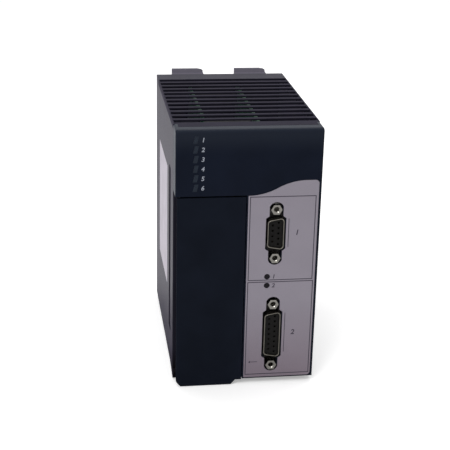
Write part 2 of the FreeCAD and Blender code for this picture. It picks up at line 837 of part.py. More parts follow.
def front_door():
    """The hinged door: a plate with stiffening ribs, two knuckles and a finger lip."""
    corners = [
        ("door_edge + lip_chamfer", "base - lip_drop"),
        ("-lip_right - lip_chamfer", "base - lip_drop"),
        ("-lip_right", "base"),
        ("door_right", "base"),
        ("door_right", "door_head"),
        ("door_edge", "door_head"),
        ("door_edge", "base"),
    ]
    plate = padded("door_plate", "XZ", corners, "front", "front + door_thick")
    near = size_of("front")
    left = size_of("door_edge")
    plate = rounded("door_edge", plate, "door_round",
                    lambda middle, along: abs(middle.y - near) < TOUCH and abs(middle.x - left) < TOUCH)
    ribs = ("front + door_thick / 2", "front + door_thick + door_rib_depth")
    inner = "hinge_x + knuckle_radius"
    added = [
        plate,
        box("door_top_rib", (inner, "door_right - door_rib_inset"), ribs,
            ("door_head - door_rib_inset - door_rib", "door_head - door_rib_inset")),
        box("door_bottom_rib", (inner, "door_right - door_rib_inset"), ribs,
            ("base + door_rib_inset", "base + door_rib_inset + door_rib")),
        box("door_side_rib", ("door_right - door_rib_inset - door_rib", "door_right - door_rib_inset"),
            ribs, ("base + door_rib_inset", "door_head - door_rib_inset")),
        box("door_hinge_rib", (inner, f"{inner} + door_rib"), ribs,
            ("base + door_rib_inset", "door_head - door_rib_inset")),
    ]
    removed = []
    for name in ("upper", "lower"):
        low = f"{name}_knuckle"
        added.append(rod(f"{name}_door_knuckle", "z", "hinge_x", "hinge_y", low,
                         "knuckle_radius", "knuckle_length"))
        added.append(box(f"{name}_door_web", ("hinge_x", f"{inner} + door_rib"),
                         ("front + door_thick / 2", "hinge_y"), (low, f"{low} + knuckle_length")))
        removed.append(rod(f"{name}_door_bore", "z", "hinge_x", "hinge_y", f"{low} - overcut",
                           "pivot_pin + running_gap", "knuckle_length + 2 * overcut"))
    return cut("front_door", fuse("door_solid", added), removed)


def hinge_pins():
    """Two steel pins, pressed into the frame above and below the door."""
    upper = rod("upper_pin", "z", "hinge_x", "hinge_y", "upper_knuckle + pin_stop", "pivot_pin",
                "opening_head + sill - upper_knuckle - pin_stop")
    lower = rod("lower_pin", "z", "hinge_x", "hinge_y", "base + sill / 2", "pivot_pin",
                "lower_knuckle + knuckle_length - pin_stop - base - sill / 2")
    return group("door_hinge_pins", [upper, lower])


def compartment_tray():
    """The open box behind the door, which carries the mode switch and the battery."""
    low = "base + wall + fit_gap"
    block = box("tray_block", ("tray_left", "tray_right"), ("front + tray_front", "tray_back"),
                (low, "opening_head - fit_gap"))
    hollow = box("tray_hollow", ("tray_left + tray_wall", "tray_right - tray_wall"),
                 ("front + tray_front - overcut", "tray_back - tray_wall"),
                 (f"{low} + tray_wall", "opening_head - fit_gap - tray_wall"))
    side_room = box("tray_side_room", ("tray_left - overcut", "tray_left + tray_wall"),
                    ("front", "front + skirt_side + fit_gap"), ("base", "roof"))
    hole = rod("tray_switch_hole", "y", "-switch_x", "tray_back - 2 * tray_wall", "base + switch_z",
               "bush_radius + running_gap", "3 * tray_wall")
    return cut("compartment_tray", block, [hollow, side_room, hole])


# ---------------------------------------------------------------- lights

def status_light_pipes():
    pipes = [status_bar(f"status_pipe_{index + 1}", index, "front", "front + pipe_length", "0")
             for index in range(int(size_of("status_lights")))]
    return group("status_light_pipes", pipes)


def status_lamps():
    """Surface-mount lamps on the display board, one behind each light pipe."""
    lamps = []
    for index in range(int(size_of("status_lights"))):
        middle = status_height(index)
        lamps.append(box(f"status_lamp_{index + 1}",
                         ("-status_x - lamp_size / 2", "-status_x + lamp_size / 2"),
                         ("lamp_y", "display_y"),
                         (f"{middle} - lamp_tall / 2", f"{middle} + lamp_tall / 2")))
    return group("status_lamps", lamps)


def display_board():
    """The small board behind the status windows."""
    half = "(status_pitch * status_lights / 2 - lamp_gap)"
    plate = box("display_plate", ("-inside + tongue_wall + wall", "display_boss_right + boss_radius + lap"),
                ("display_y", "display_y + board"),
                (f"display_z - {half}", "roof - wall - fit_gap - tongue_wall - lamp_gap"))
    holes = [rod(f"display_hole_{number}", "y", x, "display_y - overcut", "display_z", "board_hole",
                 "board + 2 * overcut")
             for number, x in enumerate(DISPLAY_FIXINGS, start=1)]
    return cut("display_board", plate, holes)


def screw(name, axis, x, y, z, length):
    """A pan-head screw whose shank starts at a point and ends at its head."""
    shank = rod(f"{name}_shank", axis, x, y, z, "stand_stud", length)
    places = {"x": x, "y": y, "z": z}
    places[axis] = f"{places[axis]} + {length}"
    head = rod(f"{name}_head", axis, places["x"], places["y"], places["z"],
               "screw_head", "screw_head_thick")
    return fuse(name, [shank, head])


def display_screws():
    screws = [screw(f"display_screw_{number}", "y", x, "display_y - stand_stud_length / 2", "display_z",
                    "stand_stud_length / 2 + board")
              for number, x in enumerate(DISPLAY_FIXINGS, start=1)]
    return group("display_board_screws", screws)


def port_light_pipes():
    pipes = [port_light(f"{height}_pipe", height, "front", "pipe_length", "port_light_radius")
             for height in PORT_LIGHTS]
    return group("port_light_pipes", pipes)


def port_lamps():
    lamps = []
    for height in PORT_LIGHTS:
        lamps.append(rod(f"{height}_lamp", "y", "port_light_x", "lamp_y", f"base + {height}",
                         "port_light_radius", "port_board_y - lamp_y"))
    return group("port_lamps", lamps)


# ---------------------------------------------------------------- serial ports

def shell_outline(port, inset):
    """The D outline of a port, its long side to the right."""
    middle = port_place(port)[0]
    half = f"({port}_shell / 2 - {inset})"
    short = f"({half} - port_shell_slope)"
    left = f"(port_x - port_shell_width / 2 + {inset})"
    right = f"(port_x + port_shell_width / 2 - {inset})"
    return [
        (left, f"{middle} - {short}"),
        (right, f"{middle} - {half}"),
        (right, f"{middle} + {half}"),
        (left, f"{middle} + {short}"),
    ]


def d_shape(name, port, inset, near, far):
    """A D-shaped bar with its four long edges rounded."""
    bar = padded(name + "_bar", "XZ", shell_outline(port, inset), near, far)
    return rounded(name, bar, f"port_shell_round - {inset} / 2",
                   lambda middle, along: abs(along.y) > NEARLY_ALONG)


def contact_points(port):
    """Each contact's place: the long row is to the right."""
    middle = port_place(port)[0]
    long_row = (int(PORTS[port]) + 1) // 2
    points = []
    for count, x in ((long_row, "port_x + contact_row / 2"), (long_row - 1, "port_x - contact_row / 2")):
        for index in range(count):
            points.append((x, f"{middle} + {(count - 1) / 2 - index} * contact_pitch"))
    return points


def jack_points(port):
    middle = port_place(port)[0]
    return [f"{middle} + {port}_pitch / 2", f"{middle} - {port}_pitch / 2"]


def port_shell(port):
    """The pressed metal shell of a port with its flange."""
    middle = port_place(port)[0]
    rim = d_shape(f"{port}_rim", port, "0", "front + port_shell_tip", "flange_y + flange_thick / 2")
    room = d_shape(f"{port}_room", port, "port_shell_wall", "front - overcut",
                   "flange_y + flange_thick + overcut")
    reach = f"({port}_pitch / 2 + flange_margin)"
    flange = box(f"{port}_flange", ("port_x - flange_width / 2", "port_x + flange_width / 2"),
                 ("flange_y", "flange_y + flange_thick"), (f"{middle} - {reach}", f"{middle} + {reach}"))
    holes = [rod(f"{port}_jack_hole_{number}", "y", "port_x", "flange_y - overcut", z,
                 "jack_shank + running_gap", "flange_thick + 2 * overcut")
             for number, z in enumerate(jack_points(port), start=1)]
    return cut(f"{port}_shell_piece", fuse(f"{port}_pressing", [rim, flange]), [room] + holes)


def port_insulator(port):
    """The moulded block that holds a port's contacts."""
    middle = port_place(port)[0]
    nose = d_shape(f"{port}_nose", port, "(port_shell_wall + contact_play)",
                   "front + contact_sink", "flange_y + flange_thick + contact_play + lap")
    half = f"({port}_shell / 2 + insulator_margin)"
    block = box(f"{port}_block", ("port_x - insulator_width / 2", "port_x + insulator_width / 2"),
                ("flange_y + flange_thick", "flange_y + flange_thick + insulator_depth"),
                (f"{middle} - {half}", f"{middle} + {half}"))
    bores = [rod(f"{port}_bore_{number}", "y", x, "front", z, "contact_radius + contact_play",
                 "flange_front + flange_thick + insulator_depth + overcut")
             for number, (x, z) in enumerate(contact_points(port), start=1)]
    return cut(f"{port}_insulator_piece", fuse(f"{port}_moulding", [nose, block]), bores)


def port_contacts(port):
    """Turned socket contacts with tails that pass through the port board."""
    contacts = []
    start = "front + contact_sink + contact_recess"
    end = "flange_y + flange_thick + insulator_depth"
    for number, (x, z) in enumerate(contact_points(port), start=1):
        name = f"{port}_contact_{number}"
        barrel = rod(f"{name}_barrel", "y", x, start, z, "contact_radius", f"{end} - ({start})")
        tail = rod(f"{name}_tail", "y", x, f"{end} - lap", z, "tail_radius",
                   f"port_board_y + board + tail_stub + lap - ({end})")
        socket = rod(f"{name}_socket", "y", x, "front", z, "contact_bore", "flange_front + lap")
        contacts.append(cut(name, fuse(f"{name}_turned", [barrel, tail]), [socket]))
    return group(f"{port}_contacts_group", contacts)


def jackscrews():
    """Hexagonal posts with a threaded hole for the cable's screws."""
    posts = []
    for port in PORTS:
        for number, z in enumerate(jack_points(port), start=1):
            name = f"{port}_jack_{number}"
            head = hexagon(f"{name}_hex", "y", "port_x", "front + hex_tip", z, "hex_radius",
                           "flange_front - hex_tip")
            shank = rod(f"{name}_shank", "y", "port_x", "flange_y - lap", z, "jack_shank",
                        "jack_shank_length + lap")
            thread = rod(f"{name}_thread", "y", "port_x", "front + hex_tip - overcut", z, "jack_thread",
                         "jack_thread_depth + overcut")
            mouth = cone(f"{name}_mouth", "y", "port_x", "front + hex_tip", z,
                         ("jack_mouth", "jack_thread"), "jack_mouth_depth")
            posts.append(cut(name, fuse(f"{name}_post", [head, shank]), [thread, mouth]))
    return group("jackscrews", posts)


def port_spacers():
    """Tubes between the ports' flanges and the port board."""
    tubes = []
    for port in PORTS:
        for number, z in enumerate(jack_points(port), start=1):
            name = f"{port}_spacer_{number}"
            tube = rod(f"{name}_tube", "y", "port_x", "flange_y + flange_thick", z, "spacer_radius",
                       "port_board_y - flange_y - flange_thick")
            bore = rod(f"{name}_bore", "y", "port_x", "flange_y", z, "jack_shank + running_gap",
                       "port_board_depth")
            tubes.append(cut(name, tube, [bore]))
    return group("port_spacers", tubes)


def port_board():
    """The upright board across the module that the two ports are soldered to."""
    plate = box("port_plate", ("port_board_left", "side - port_board_right"),
                ("port_board_y", "port_board_y + board"),
                ("base + port_board_low", "base + port_board_high"))
    holes = []
    for port in PORTS:
        for number, (x, z) in enumerate(contact_points(port), start=1):
            holes.append(rod(f"{port}_tail_hole_{number}", "y", x, "port_board_y - overcut", z,
                             "tail_radius + contact_play", "board + 2 * overcut"))
    return cut("port_board", plate, holes)


# ---------------------------------------------------------------- boards inside

def board_with_holes(name, x, y_low, y_high, z_low, z_high):
    """A board along the module's side, drilled for its four posts."""
    plate = box(f"{name}_plate", (x, f"{x} + board"), (y_low, y_high), (z_low, z_high))
    holes = [rod(f"{name}_hole_{number}", "x", f"{x} - overcut", y, z, "board_hole",
                 "board + 2 * overcut")
             for number, (y, z) in enumerate(stand_points(), start=1)]
    return cut(name, plate, holes)


def main_board():
    """The processor's board, with a tab that reaches forward above the tray."""
    sheet_piece = board_with_holes("main_panel", "main_x", "front + main_board_front",
                                   "rear - main_board_back", "base + main_board_low",
                                   "boards_top")
    tab = box("main_tab", ("main_x", "main_face"), ("display_y + board + fit_gap",
                                                    "front + main_board_front + lap"),
              ("display_link_low", "boards_top - stand_inset"))
    return fuse("main_board", [sheet_piece, tab])


def io_board():
    return board_with_holes("io_board", "io_board_x", "front + io_board_front", "rear - main_board_back",
                            "base + main_board_low", "boards_top")


def board_posts():
    """Hexagonal posts that clamp the main board and carry the second board."""
    posts = []
    for number, (y, z) in enumerate(stand_points(), start=1):
        name = f"board_post_{number}"
        body = hexagon(f"{name}_hex", "x", "main_face", y, z, "stand_hex", "io_board_x - main_face")
        stud = rod(f"{name}_stud", "x", "main_face - stand_stud_length", y, z, "stand_stud",
                   "stand_stud_length + lap")
        bore = rod(f"{name}_bore", "x", "io_board_x - stand_stud_length", y, z,
                   "stand_stud + running_gap", "stand_stud_length + overcut")
        posts.append(cut(name, fuse(f"{name}_bar", [body, stud]), [bore]))
    return group("board_posts", posts)


def board_screws():
    screws = []
    for number, (y, z) in enumerate(stand_points(), start=1):
        start = "io_board_x - stand_stud_length + screw_play"
        screws.append(screw(f"board_screw_{number}", "x", start, y, z,
                            "stand_stud_length - screw_play + board"))
    return group("board_screws", screws)


def backplane_plug():
    """The connector block at the back edge of the main board."""
    half = "plug_width / 2"
    block = box("plug_block", (f"plug_x - {half}", f"plug_x + {half}"),
                ("rear - plug_depth", "rear - plug_margin"), ("base + plug_low", "base + plug_high"))
    seat = box("plug_board_seat", ("main_x", "main_face"),
               ("rear - plug_depth - overcut", "rear - main_board_back"), ("base", "roof"))
    mouth = box("plug_mouth", (f"plug_x - {half} + plug_wall", f"plug_x + {half} - plug_wall"),
                ("rear - rear_wall - plug_margin", "rear"),
               ("base + plug_low + plug_wall", "base + plug_high - plug_wall"))
    return cut("backplane_plug", block, [seat, mouth] + plug_pins("plug_pin_hole", "contact_play"))


def plug_pins(name, spread):
    """Two columns of square pins, or the holes they stand in."""
    pins = []
    half = f"(plug_pin / 2 + {spread})"
    for column, x in enumerate(("plug_x - plug_row_gap / 2", "plug_x + plug_row_gap / 2"), start=1):
        for index in range(int(size_of("plug_pins"))):
            step = f"(plug_pins - 1 - 2 * {index}) * plug_pin_pitch / 2"
            middle = f"(base + (plug_low + plug_high) / 2 + {step})"
            pins.append(box(f"{name}_{column}_{index + 1}", (f"{x} - {half}", f"{x} + {half}"),
                            ("rear - main_board_back + fit_gap", "rear - plug_margin - plug_pin_sink"),
                            (f"{middle} - {half}", f"{middle} + {half}")))
    return pins


def board_link():
    """The stacking connector between the main board and the second board."""
    return box("board_link", ("main_face", "io_board_x"),
               ("rear - main_board_back - stand_inset - header_height",
                "rear - main_board_back - stand_inset"),
               ("base + main_board_low + 2 * stand_inset",
                "base + main_board_low + 2 * stand_inset + header_length"))


def port_link():
    """The right-angle connector between the port board and the second board."""
    return box("port_link", ("io_board_x + board", "io_board_x + board + header_height"),
               ("port_board_y + board", "front + io_board_front + header_height"),
               ("base + (port_1_z + port_2_z) / 2 - header_length / 2",
                "base + (port_1_z + port_2_z) / 2 + header_length / 2"))


def display_link():
    """The right-angle connector between the display board and the main board's tab."""
    return box("display_link", ("main_face", "main_face + header_height / 2"),
               ("display_y + board", "display_y + board + header_height"),
               ("display_link_low + header_inset",
                "boards_top - stand_inset - header_inset"))


def on_main(name, y, z, across, tall, thick):
    """A part soldered flat on the main board."""
    return box(name, ("main_face", f"main_face + {thick}"),
               (f"{y} - ({across}) / 2", f"{y} + ({across}) / 2"),
               (f"{z} - ({tall}) / 2", f"{z} + ({tall}) / 2"))


def processor():
    return on_main("processor", "processor_y", "processor_middle", "processor_size",
                   "processor_size", "processor_thick")


def thermal_pad():
    """The soft pad between the processor and its heat sink."""
    half = "(processor_size / 2 - pad_inset)"
    return box("thermal_pad", ("main_face + processor_thick", "pad_face"),
               (f"processor_y - {half}", f"processor_y + {half}"),
               (f"processor_middle - {half}", f"processor_middle + {half}"))


def heat_sink():
    """An extruded heat sink with upright fins, so that air rises between them."""
    half = "sink_size / 2"
    pieces = [box("sink_plate", ("pad_face", "pad_face + sink_base"),
                  (f"processor_y - {half}", f"processor_y + {half}"),
                  (f"processor_middle - {half}", f"processor_middle + {half}"))]
    for index in range(int(size_of("sink_fins"))):
        low = f"processor_y - {half} + {index} * (sink_size - fin_thick) / (sink_fins - 1)"
        pieces.append(box(f"sink_fin_{index + 1}", ("pad_face", "pad_face + sink_height"),
                          (low, f"{low} + fin_thick"),
                          (f"processor_middle - {half}", f"processor_middle + {half}")))
    return fuse("heat_sink", pieces)


def heat_sink_pins():
    """Two spring-less push pins that hold the heat sink to the board."""
    pins = []
    reach = "(sink_size / 2 - stand_hex)"
    for number, sign in enumerate(("-", "+"), start=1):
        pins.append(rod(f"sink_pin_{number}", "x", "main_face", f"processor_y {sign} {reach}",
                        f"processor_middle {sign} (processor_size / 2 + stand_stud)",
                        "stand_stud", "pad_face - main_face"))
    return group("heat_sink_pins", pins)


def memory_chips():
    chips = []
    for index in range(int(size_of("memory_chips"))):
        step = f"{index} * (memory_width + memory_gap)"
        y = f"(front + main_board_front + memory_gap + memory_width / 2 + {step})"
        chips.append(on_main(f"memory_{index + 1}", y,
                             "(processor_middle - sink_size / 2 - memory_length)",
                             "memory_width", "memory_length", "chip_thick"))
    return group("memory_chips", chips)


def logic_chips():
    chips = []
    for index in range(int(size_of("logic_chips"))):
        step = f"{index} * (logic_size + logic_gap)"
        z = f"(boards_top - 2 * stand_inset - {step} - logic_size)"
        chips.append(box(f"logic_{index + 1}",
                         ("io_board_x + board", "io_board_x + board + chip_thick"),
                         ("front + io_board_front + logic_size",
                          "front + io_board_front + 2 * logic_size"),
                         (f"{z} - logic_size / 2", f"{z} + logic_size / 2")))
    return group("logic_chips", chips)


def capacitors():
    cans = []
    for index in range(int(size_of("capacitors"))):
        step = f"{index} * (2 * capacitor_radius + capacitor_gap)"
        cans.append(rod(f"capacitor_{index + 1}", "x", "io_board_x + board",
                        "rear - main_board_back - 3 * stand_inset",
                        f"base + main_board_low + 3 * stand_inset + {step}",
                        "capacitor_radius", "capacitor_height"))
    return group("capacitors", cans)


def clock_crystal():
    return on_main("clock_crystal", "processor_y", "(processor_middle + sink_size / 2 + crystal_width)",
                   "crystal_length", "crystal_width", "crystal_height")


# ---------------------------------------------------------------- mode switch

def mode_switch_body():
    """The switch case and its bush, which pass through the back of the tray."""
    half = "switch_body_width / 2"
    tall = "switch_body_height / 2"
    case = box("switch_case", (f"-switch_x - {half}", f"-switch_x + {half}"),
               ("tray_back", "tray_back + switch_body_depth"),
               (f"base + switch_z - {tall}", f"base + switch_z + {tall}"))
    bush = rod("switch_bush", "y", "-switch_x", "bush_front", "base + switch_z", "bush_radius",
               "tray_back - bush_front + lap")
    bore = rod("switch_bore", "y", "-switch_x", "bush_front - overcut", "base + switch_z", "bush_bore",
               "bush_reach + tray_wall / 2 + overcut")
    pin_bore = rod("switch_pin_bore", "x", "-switch_x - bush_radius - overcut", "switch_y",
                   "base + switch_z", "lever_pin + press_gap", "2 * bush_radius + 2 * overcut")
    return cut("mode_switch_body", fuse("switch_moulding", [case, bush]), [bore, pin_bore])


def mode_switch_nut():
    """The hexagonal nut that clamps the bush to the back of the tray."""
    nut = hexagon("nut_hex", "y", "-switch_x", "tray_back - tray_wall - nut_thick", "base + switch_z",
                  "nut_radius", "nut_thick")
    bore = rod("nut_bore", "y", "-switch_x", "tray_back - tray_wall - nut_thick - overcut",
               "base + switch_z", "bush_radius + running_gap", "nut_thick + 2 * overcut")
    return cut("mode_switch_nut", nut, [bore])


def mode_switch_pin():
    return rod("mode_switch_pin", "x", "-switch_x - bush_radius", "switch_y", "base + switch_z",
               "lever_pin", "2 * bush_radius")


def mode_switch_lever():
    """The toggle: a ball with a bat-shaped lever that rocks up and down."""
    ball = doc.addObject("Part::Sphere", "lever_ball")
    tie(ball, "Radius", "ball_radius")
    put(ball, "-switch_x", "switch_y", "base + switch_z")
    bat = cone("lever_bat", "y", "-switch_x", "switch_y - lever_length", "base + switch_z",
               ("lever_tip", "lever_root"), "lever_length")
    tip = doc.addObject("Part::Sphere", "lever_tip_end")
    tie(tip, "Radius", "lever_tip")
    put(tip, "-switch_x", "switch_y - lever_length", "base + switch_z")
    bore = rod("lever_bore", "x", "-switch_x - bush_radius", "switch_y", "base + switch_z",
               "lever_pin + running_gap", "2 * bush_radius")
    return cut("mode_switch_lever", fuse("lever_solid", [ball, bat, tip]), [bore])


# ---------------------------------------------------------------- battery

def battery_cell():
    """A lithium cell that stands upright in its holder."""
    can = rod("cell_can", "z", "battery_x", "battery_y", "cell_low", "battery_radius", "battery_length")
    nub = rod("cell_nub", "z", "battery_x", "battery_y", "cell_high - lap", "nub_radius",
              "nub_height + lap")
    return fuse("battery_cell", [can, nub])


def battery_holder():
    """The cradle on the back of the tray, with an arm at each end of the cell."""
    half = "holder_width / 2"
    block = box("holder_block", (f"battery_x - {half}", f"battery_x + {half}"),
                ("battery_y - battery_radius / 2", "holder_back"), ("holder_low", "holder_high"))
    room = box("holder_room", (f"battery_x - {half} - overcut", f"battery_x + {half} + overcut"),
               ("battery_y - battery_radius", "holder_back - holder_wall"),
               ("holder_low + holder_wall", "holder_high - holder_wall"))
    return cut("battery_holder", block, [room])


def battery_contacts():
    """Nickel strips on the holder's arms that touch the ends of the cell."""
    strips = []
    for name, low in (("lower", "holder_low + holder_wall"),
                      ("upper", "holder_high - holder_wall - clip_thick")):
        strips.append(box(f"{name}_contact", ("battery_x - clip_width / 2", "battery_x + clip_width / 2"),
                          ("battery_y - battery_radius / 2", "holder_back - holder_wall"),
                          (low, f"{low} + clip_thick")))
    return group("battery_contacts", strips)


# ---------------------------------------------------------------- release latches

def latch_lever(name, middle):
    """A spring-loaded lever: pressing its pad up frees the tooth from the rack."""
    low = "latch_top - latch_thick"
    pad_back = "rear + latch_reach - latch_tooth"
    profile = [
        ("pivot_y", low),
        (f"{pad_back} - latch_pad - latch_pad_drop", low),
        (f"{pad_back} - latch_pad", "base - latch_pad_drop"),
        ("rear + latch_reach", "base - latch_pad_drop"),
        ("rear + latch_reach", f"{low} + latch_tooth / 2"),
        (pad_back, "latch_top"),
        ("pivot_y", "latch_top"),
    ]
    arm = padded(f"{name}_arm", "YZ", profile, f"{middle} - latch_width / 2",
                 f"{middle} + latch_width / 2")
    knuckle = rod(f"{name}_knuckle", "x", f"{middle} - latch_width / 2", "pivot_y", "pivot_z",
                  "latch_knuckle", "latch_width")
    bore = rod(f"{name}_bore", "x", f"{middle} - latch_width", "pivot_y", "pivot_z",
               "pivot_pin + running_gap", "2 * latch_width")
    return cut(name, fuse(f"{name}_solid", [arm, knuckle]), [bore])


def latch_spring(name, middle):
    """A bent steel strip between the lever and the roof of its pocket."""
    y = "rear - spring_inset"
    top = "pocket_roof"
    waist = f"(({top} + latch_top) / 2)"
    profile = [
        (f"{y} + spring_span / 2", "latch_top"),
        (f"{y} + spring_span / 2", "latch_top + spring_strip"),
        (f"{y} - spring_span / 2 + spring_fold", waist),
        (f"{y} + spring_span / 2", f"{top} - spring_strip"),
        (f"{y} + spring_span / 2", top),
        (f"{y} + spring_span / 2 - spring_strip", top),
        (f"{y} - spring_span / 2", waist),
        (f"{y} + spring_span / 2 - spring_strip", "latch_top"),
    ]
    return padded(name, "YZ", profile, f"{middle} - spring_width / 2", f"{middle} + spring_width / 2")


def latch_pins():
    outer = "(latch_width / 2 + latch_side_gap + pocket_wall)"
    pins = [rod(f"{name}_latch_pin", "x", f"{sign}slot_pitch / 2 - {outer}", "pivot_y", "pivot_z",
                "pivot_pin", f"2 * {outer}")
            for name, sign in (("left", "-"), ("right", ""))]
    return group("latch_pins", pins)


# ---------------------------------------------------------------- the assembly

def build():
    """Every sub-part of the module, each with its own name."""
    pieces = [
        named("housing_shell", housing_shell()),
        named("side_label", side_label()),
        named("front_bezel", front_bezel()),
        named("front_label", front_label()),
        named("front_door", front_door()),
        named("door_hinge_pins", hinge_pins()),
        named("compartment_tray", compartment_tray()),
        named("status_light_pipes", status_light_pipes()),
        named("status_lamps", status_lamps()),
        named("display_board", display_board()),
        named("display_board_screws", display_screws()),
        named("port_light_pipes", port_light_pipes()),
        named("port_lamps", port_lamps()),
        named("jackscrews", jackscrews()),
        named("port_spacers", port_spacers()),
        named("port_board", port_board()),
        named("main_board", main_board()),
        named("io_board", io_board()),
        named("board_posts", board_posts()),
        named("board_screws", board_screws()),
        named("backplane_plug", backplane_plug()),
        named("backplane_pins", group("backplane_pin_group", plug_pins("plug_pin", "0"))),
        named("board_link", board_link()),
        named("port_link", port_link()),
        named("display_link", display_link()),
        named("processor", processor()),
        named("thermal_pad", thermal_pad()),
        named("heat_sink", heat_sink()),
        named("heat_sink_pins", heat_sink_pins()),
        named("memory_chips", memory_chips()),
        named("logic_chips", logic_chips()),
        named("capacitors", capacitors()),
        named("clock_crystal", clock_crystal()),
        named("mode_switch_body", mode_switch_body()),
        named("mode_switch_nut", mode_switch_nut()),
        named("mode_switch_pin", mode_switch_pin()),
        named("mode_switch_lever", mode_switch_lever()),
        named("battery_cell", battery_cell()),
        named("battery_holder", battery_holder()),
        named("battery_contacts", battery_contacts()),
        named("latch_pins", latch_pins()),
    ]
    for port in PORTS:
        pieces.append(named(f"{port}_shell", port_shell(port)))
        pieces.append(named(f"{port}_insulator", port_insulator(port)))
        pieces.append(named(f"{port}_contacts", port_contacts(port)))
    for name, sign in (("left", "-"), ("right", "")):
        middle = f"{sign}slot_pitch / 2"
        pieces.append(named(f"{name}_latch_lever", latch_lever(f"{name}_latch", middle)))
        pieces.append(named(f"{name}_latch_spring", latch_spring(f"{name}_spring", middle)))
    return pieces


def check_and_write(pieces):
    """Stop on any failed feature or bad shape, then write one file for each sub-part."""
    doc.recompute()
    failed = [feature.Name for feature in doc.Objects
              if "Invalid" in feature.State or "Error" in feature.State]
    if failed:
        raise RuntimeError("failed features: " + ", ".join(failed))
    for piece in pieces:
        if piece.Shape.isNull() or not piece.Shape.isValid():
            raise RuntimeError("bad shape: " + piece.Label)
    os.makedirs("parts", exist_ok=True)
    for piece in pieces:
        piece.Shape.exportStep(os.path.join("parts", piece.Label + ".step"))


fill_sheet()
check_and_write(build())
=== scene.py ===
import bmesh
import bpy
import math
from mathutils import Matrix, Vector


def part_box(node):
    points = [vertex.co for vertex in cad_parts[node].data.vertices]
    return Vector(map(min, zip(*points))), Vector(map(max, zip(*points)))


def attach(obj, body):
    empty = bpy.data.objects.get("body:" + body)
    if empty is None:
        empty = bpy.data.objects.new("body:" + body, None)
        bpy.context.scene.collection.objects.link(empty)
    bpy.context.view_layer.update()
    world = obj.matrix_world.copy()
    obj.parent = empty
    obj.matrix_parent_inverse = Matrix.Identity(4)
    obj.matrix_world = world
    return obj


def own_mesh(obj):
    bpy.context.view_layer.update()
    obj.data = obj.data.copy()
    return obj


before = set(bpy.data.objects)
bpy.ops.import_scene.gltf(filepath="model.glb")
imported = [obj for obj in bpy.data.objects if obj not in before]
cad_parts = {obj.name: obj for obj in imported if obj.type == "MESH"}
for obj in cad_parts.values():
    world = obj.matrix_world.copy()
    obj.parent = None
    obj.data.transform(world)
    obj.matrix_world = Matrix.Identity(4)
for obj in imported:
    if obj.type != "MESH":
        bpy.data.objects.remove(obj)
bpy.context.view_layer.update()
scene = bpy.context.scene

# ---- Housing shell and release latches
# The case is one moulding in charcoal glass-filled plastic with a fine spark-eroded
# grain. The latch levers come from the same plastic and run on pins under the back.

MILLIMETRE = 0.001
bezel_low, bezel_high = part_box("front_bezel")
roof = bezel_high.z
LAST_LOUVRE = 39.5 * MILLIMETRE
BACK_FACE = 51.75 * MILLIMETRE


def node_tree(name):
    """A fresh material with its shader, and a maker of linked nodes."""
    finish = bpy.data.materials.new(name)
    finish.use_nodes = True
    tree = finish.node_tree
    shader = tree.nodes["Principled BSDF"]

    def add(kind, inputs=None, **settings):
        made = tree.nodes.new(kind)
        for key, value in settings.items():
            setattr(made, key, value)
        for key, value in (inputs or {}).items():
            if isinstance(value, bpy.types.NodeSocket):
                tree.links.new(value, made.inputs[key])
            else:
                made.inputs[key].default_value = value
        return made

    return finish, tree, shader, add


def speckle(add, grain, detail=3.0):
    """Noise in the piece's own coordinates, with specks of about one grain."""
    place = add("ShaderNodeTexCoord").outputs["Object"]
    return add("ShaderNodeTexNoise", {"Vector": place, "Scale": 1 / grain, "Detail": detail})


def blotched_colour(add, source, dark, light):
    """Two tones of one colour, laid out by a noise."""
    ramp = add("ShaderNodeValToRGB", {"Fac": source})
    ramp.color_ramp.elements[0].position = 0.35
    ramp.color_ramp.elements[1].position = 0.65
    ramp.color_ramp.elements[0].color = (*dark, 1)
    ramp.color_ramp.elements[1].color = (*light, 1)
    return ramp.outputs["Color"]


def spread(add, source, low, high):
    """A noise led to the range between two values."""
    return add("ShaderNodeMapRange", {"Value": source, "From Min": 0.3, "From Max": 0.7,
                                      "To Min": low, "To Max": high}).outputs["Result"]


def placed(add):
    """The three coordinates of a spot, in the module's frame."""
    place = add("ShaderNodeTexCoord").outputs["Object"]
    return add("ShaderNodeSeparateXYZ", {"Vector": place}).outputs


def faded(add, source, start, end, low, high):
    """A value that runs smoothly from low at the start to high at the end."""
    return add("ShaderNodeMapRange", {"Value": source, "From Min": start, "From Max": end,
                                      "To Min": low, "To Max": high},
               interpolation_type="SMOOTHSTEP").outputs["Result"]


def worked(add, operation, first, second):
    """One value worked out from two."""
    return add("ShaderNodeMath", {0: first, 1: second}, operation=operation).outputs["Value"]


def toned(add, factor, body, tone):
    """A colour led over to a second, fixed colour."""
    mixed = add("ShaderNodeMix", {"Factor": factor, "A": body}, data_type="RGBA")
    mixed.inputs["B"].default_value = (*tone, 1)
    return mixed.outputs["Result"]


def softened_edges(tree, shader, add, height, depth, edge):
    """A bump over normals that roll round the moulding's edges."""
    rolled = add("ShaderNodeBevel", {"Radius": edge}, samples=4).outputs["Normal"]
    bump = add("ShaderNodeBump", {"Height": height, "Normal": rolled, "Strength": 0.35,
                                  "Distance": depth})
    tree.links.new(bump.outputs["Normal"], shader.inputs["Normal"])
    return rolled


